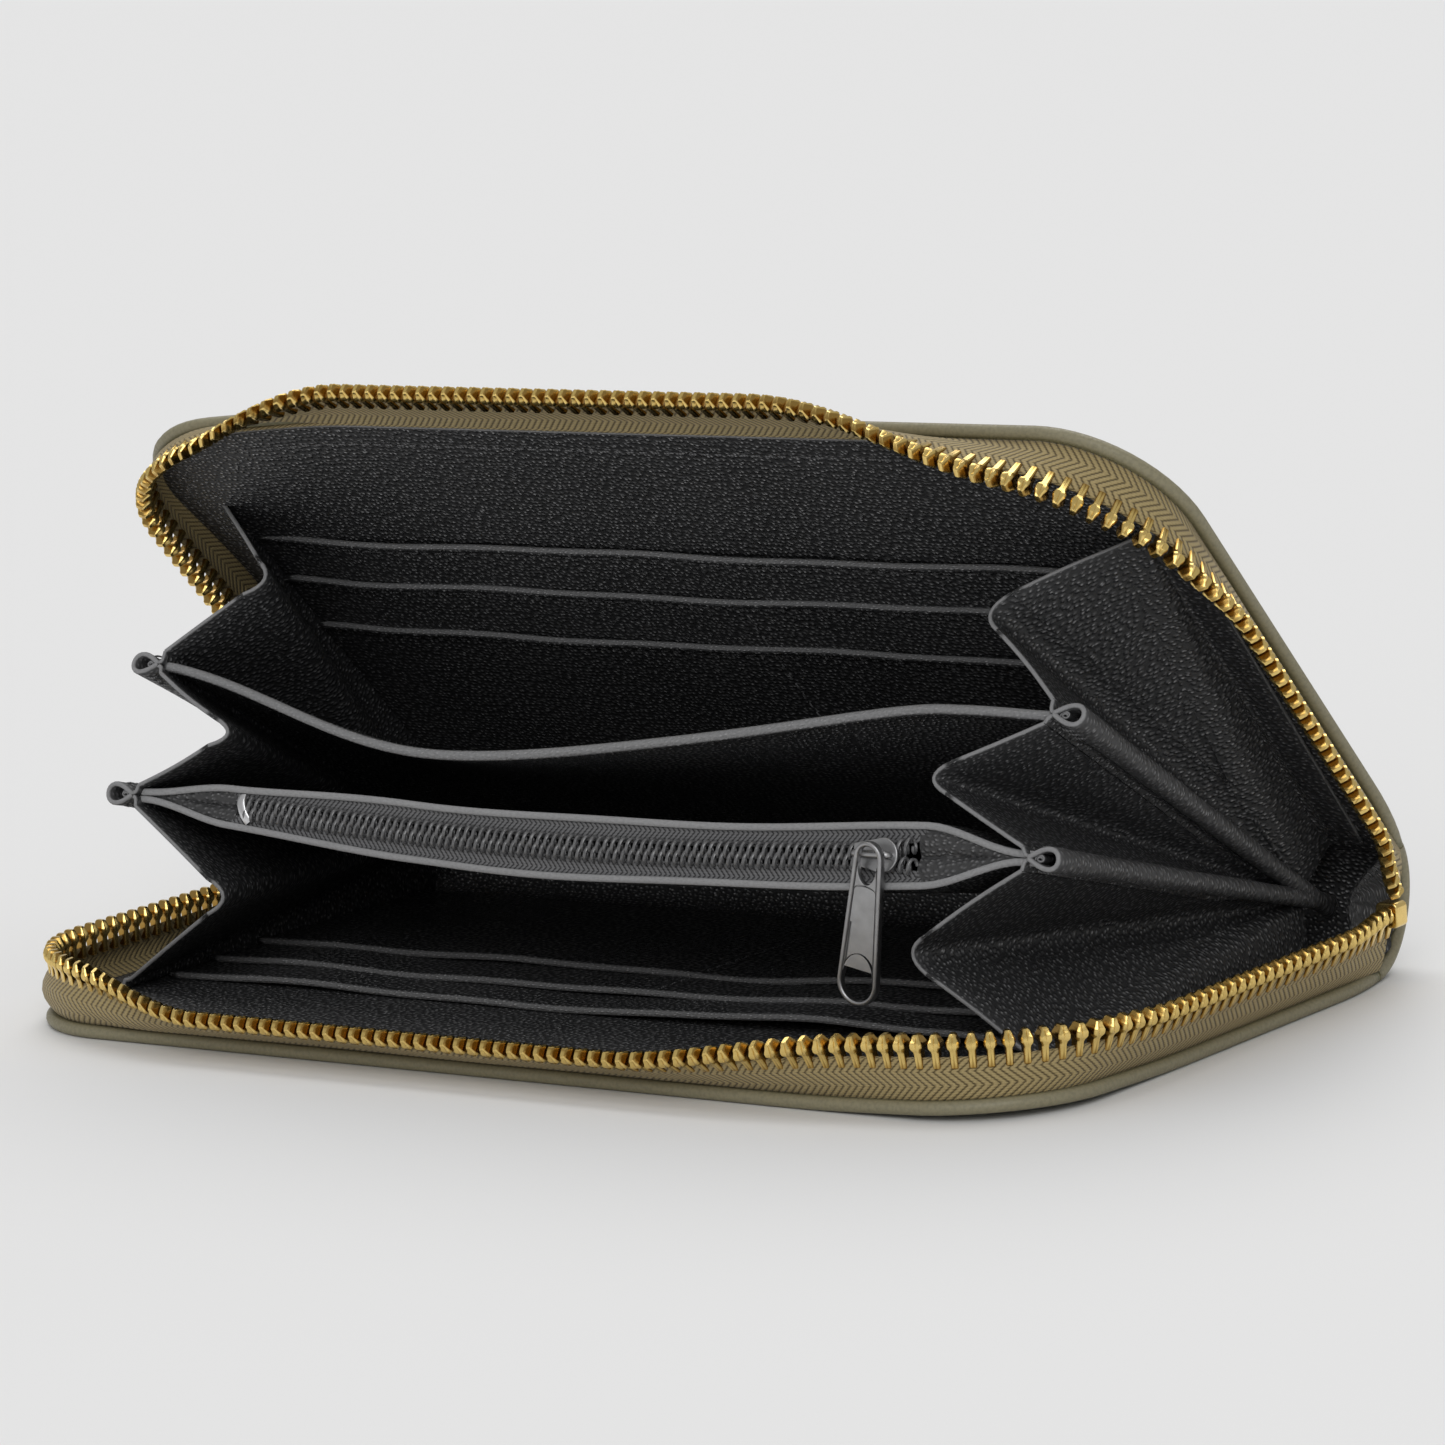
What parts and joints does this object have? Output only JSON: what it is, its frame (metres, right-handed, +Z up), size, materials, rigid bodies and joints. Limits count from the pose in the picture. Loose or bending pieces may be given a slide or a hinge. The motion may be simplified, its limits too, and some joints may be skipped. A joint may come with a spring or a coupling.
{
  "type": "zip around wallet",
  "caption": "Long leather wallet closed by a zip around its edge, with folding side gussets, card pockets, a bill divider and a zipped coin pocket, standing open.",
  "frame": {"origin": "centre of the lower cover's flat underside", "axes": "+X along the spine, +Y from the mouth to the spine, +Z up from the lower cover to the upper one"},
  "size_m": [0.1976, 0.1161, 0.0975],
  "materials": {
    "outer_leather": "smooth olive leather with a painted edge",
    "board": "bonded fibre board",
    "inner_leather": "black pebbled leather",
    "zip_tape": "khaki herringbone tape",
    "brass": "polished brass",
    "pocket_lining": "black lining cloth",
    "coin_zip_tape": "black woven tape",
    "coil": "black nylon coil",
    "stop_metal": "bright nickel",
    "gunmetal": "gunmetal"
  },
  "bodies": {
    "lower_cover": {"lower_cover": "outer_leather", "lower_board": "board", "lower_lining": "inner_leather", "lower_slip_pocket": "inner_leather", "lower_middle_pocket": "inner_leather", "lower_front_pocket": "inner_leather", "lower_side_tapes": "zip_tape", "lower_side_teeth": "brass", "spine_leather": "outer_leather", "spine_lining": "inner_leather", "lower_gusset_fins": "inner_leather", "zip_end_stop": "brass"},
    "lower_mouth_zip": {"lower_mouth_tape": "zip_tape", "lower_mouth_teeth": "brass"},
    "upper_cover": {"upper_cover": "outer_leather", "upper_board": "board", "upper_lining": "inner_leather", "upper_slip_pocket": "inner_leather", "upper_middle_pocket": "inner_leather", "upper_front_pocket": "inner_leather", "upper_side_tapes": "zip_tape", "upper_side_teeth": "brass", "upper_gusset_fins": "inner_leather"},
    "upper_mouth_zip": {"upper_mouth_tape": "zip_tape", "upper_mouth_teeth": "brass"},
    "bill_divider": {"bill_divider": "inner_leather", "bill_divider_piping": "inner_leather"},
    "coin_pocket": {"coin_lower_wall": "inner_leather", "coin_upper_wall": "inner_leather", "coin_lower_lining": "pocket_lining", "coin_upper_lining": "pocket_lining", "coin_lower_tape": "coin_zip_tape", "coin_upper_tape": "coin_zip_tape", "coin_coils": "coil", "coin_top_stop": "stop_metal", "coin_pocket_piping": "inner_leather"},
    "coin_slider": {"coin_slider": "gunmetal"},
    "coin_puller": {"coin_puller": "gunmetal"},
    "main_slider": {"main_slider": "brass"},
    "main_puller": {"main_puller": "brass"},
    "gusset_right_1a": {"gusset_right_1a": "inner_leather"},
    "gusset_right_1b": {"gusset_right_1b": "inner_leather"},
    "gusset_right_2a": {"gusset_right_2a": "inner_leather"},
    "gusset_right_2b": {"gusset_right_2b": "inner_leather"},
    "gusset_right_3b": {"gusset_right_3b": "inner_leather"},
    "gusset_right_3a": {"gusset_right_3a": "inner_leather"},
    "gusset_left_1a": {"gusset_left_1a": "inner_leather"},
    "gusset_left_1b": {"gusset_left_1b": "inner_leather"},
    "gusset_left_2a": {"gusset_left_2a": "inner_leather"},
    "gusset_left_2b": {"gusset_left_2b": "inner_leather"},
    "gusset_left_3b": {"gusset_left_3b": "inner_leather"},
    "gusset_left_3a": {"gusset_left_3a": "inner_leather"}
  },
  "joints": [
    {"name": "cover_open", "type": "hinge", "parent": "lower_cover", "child": "upper_cover", "pos_m": [0, 0.04825, 0.012], "axis": [-1, 0, 0], "range_deg": [-49, 8], "deforming": ["spine_leather", "spine_lining"]},
    {"name": "coin_pocket_swing", "type": "hinge", "parent": "lower_cover", "child": "coin_pocket", "pos_m": [0, 0.04825, 0.012], "axis": [-1, 0, 0], "range_deg": [-18.2, 3.14]},
    {"name": "bill_divider_swing", "type": "hinge", "parent": "lower_cover", "child": "bill_divider", "pos_m": [0, 0.04825, 0.012], "axis": [-1, 0, 0], "range_deg": [-30.2, 5.1]},
    {"name": "lower_mouth_zip_lean", "type": "hinge", "parent": "lower_cover", "child": "lower_mouth_zip", "pos_m": [0, -0.0464, 0.0021], "axis": [1, 0, 0], "range_deg": [-60.2, 10]},
    {"name": "upper_mouth_zip_lean", "type": "hinge", "parent": "upper_cover", "child": "upper_mouth_zip", "pos_m": [0, -0.00637, 0.08993], "axis": [-1, 0, 0], "range_deg": [-82.2, 13.59]},
    {"name": "gusset_right_1a_swing", "type": "hinge", "parent": "lower_cover", "child": "gusset_right_1a", "pos_m": [0.0842, 0.04825, 0.012], "axis": [0.0355, -0.9941, -0.102], "range_deg": [-4.7, 27.78]},
    {"name": "gusset_right_1b_fold", "type": "hinge", "parent": "gusset_right_1a", "child": "gusset_right_1b", "pos_m": [0.0842, 0.04825, 0.012], "axis": [-0.2533, -0.9633, 0.0884], "range_deg": [-56.9, 9.46]},
    {"name": "gusset_right_2a_swing", "type": "hinge", "parent": "coin_pocket", "child": "gusset_right_2a", "pos_m": [0.0842, 0.04825, 0.012], "axis": [0.0355, -0.959, 0.2812], "range_deg": [-3.54, 20.64]},
    {"name": "gusset_right_2b_fold", "type": "hinge", "parent": "gusset_right_2a", "child": "gusset_right_2b", "pos_m": [0.0842, 0.04825, 0.012], "axis": [-0.2355, -0.8863, 0.3988], "range_deg": [-42.15, 7.05]},
    {"name": "gusset_right_3b_swing", "type": "hinge", "parent": "upper_cover", "child": "gusset_right_3b", "pos_m": [0.0842, 0.04825, 0.012], "axis": [0.0355, -0.5752, 0.8172], "range_deg": [-33.66, 5.66]},
    {"name": "gusset_right_3a_fold", "type": "hinge", "parent": "gusset_right_3b", "child": "gusset_right_3a", "pos_m": [0.0842, 0.04825, 0.012], "axis": [-0.2075, -0.7098, 0.6732], "range_deg": [-11.3, 68.17]},
    {"name": "gusset_left_1a_swing", "type": "hinge", "parent": "lower_cover", "child": "gusset_left_1a", "pos_m": [-0.0842, 0.04825, 0.012], "axis": [-0.0355, -0.9941, -0.102], "range_deg": [-27.78, 4.7]},
    {"name": "gusset_left_1b_fold", "type": "hinge", "parent": "gusset_left_1a", "child": "gusset_left_1b", "pos_m": [-0.0842, 0.04825, 0.012], "axis": [0.2533, -0.9633, 0.0884], "range_deg": [-9.46, 56.9]},
    {"name": "gusset_left_2a_swing", "type": "hinge", "parent": "coin_pocket", "child": "gusset_left_2a", "pos_m": [-0.0842, 0.04825, 0.012], "axis": [-0.0355, -0.959, 0.2812], "range_deg": [-20.64, 3.54]},
    {"name": "gusset_left_2b_fold", "type": "hinge", "parent": "gusset_left_2a", "child": "gusset_left_2b", "pos_m": [-0.0842, 0.04825, 0.012], "axis": [0.2355, -0.8863, 0.3988], "range_deg": [-7.05, 42.15]},
    {"name": "gusset_left_3b_swing", "type": "hinge", "parent": "upper_cover", "child": "gusset_left_3b", "pos_m": [-0.0842, 0.04825, 0.012], "axis": [-0.0355, -0.5752, 0.8172], "range_deg": [-5.66, 33.66]},
    {"name": "gusset_left_3a_fold", "type": "hinge", "parent": "gusset_left_3b", "child": "gusset_left_3a", "pos_m": [-0.0842, 0.04825, 0.012], "axis": [0.2075, -0.7098, 0.6732], "range_deg": [-68.17, 11.3]},
    {"name": "coin_slider_travel", "type": "slide", "parent": "coin_pocket", "child": "coin_slider", "axis": [-1, 0, 0], "range_m": [0, 0.109]},
    {"name": "coin_puller_swing", "type": "hinge", "parent": "coin_slider", "child": "coin_puller", "pos_m": [0.058, -0.02708, 0.03409], "axis": [0, -1, 0], "range_deg": [-90.2, 14.9]},
    {"name": "main_slider_travel", "type": "slide", "parent": "lower_cover", "child": "main_slider", "axis": [0, -1, 0], "range_m": [-0.0091, 0.0552]},
    {"name": "main_puller_swing", "type": "hinge", "parent": "main_slider", "child": "main_puller", "pos_m": [-0.0981, 0.03125, 0.012], "axis": [1, 0, 0], "range_deg": [-2, 190]}
  ],
  "couplings": [
    {"joint": "coin_pocket_swing", "follows": "cover_open", "ratio": 0.36735},
    {"joint": "bill_divider_swing", "follows": "cover_open", "ratio": 0.61224},
    {"joint": "lower_mouth_zip_lean", "follows": "cover_open", "ratio": 1.2245},
    {"joint": "upper_mouth_zip_lean", "follows": "cover_open", "ratio": 1.6735},
    {"joint": "gusset_right_1a_swing", "follows": "cover_open", "ratio": -0.56282},
    {"joint": "gusset_right_1b_fold", "follows": "cover_open", "ratio": 1.1571},
    {"joint": "gusset_right_2a_swing", "follows": "cover_open", "ratio": -0.41724},
    {"joint": "gusset_right_2b_fold", "follows": "cover_open", "ratio": 0.85605},
    {"joint": "gusset_right_3b_swing", "follows": "cover_open", "ratio": 0.68291},
    {"joint": "gusset_right_3a_fold", "follows": "cover_open", "ratio": -1.3872},
    {"joint": "gusset_left_1a_swing", "follows": "cover_open", "ratio": 0.56282},
    {"joint": "gusset_left_1b_fold", "follows": "cover_open", "ratio": -1.1571},
    {"joint": "gusset_left_2a_swing", "follows": "cover_open", "ratio": 0.41724},
    {"joint": "gusset_left_2b_fold", "follows": "cover_open", "ratio": -0.85605},
    {"joint": "gusset_left_3b_swing", "follows": "cover_open", "ratio": -0.68291},
    {"joint": "gusset_left_3a_fold", "follows": "cover_open", "ratio": 1.3872},
    {"joint": "coin_puller_swing", "follows": "cover_open", "ratio": 1.8367},
    {"joint": "main_slider_travel", "follows": "cover_open", "m_per_rad": -0.064312}
  ]
}
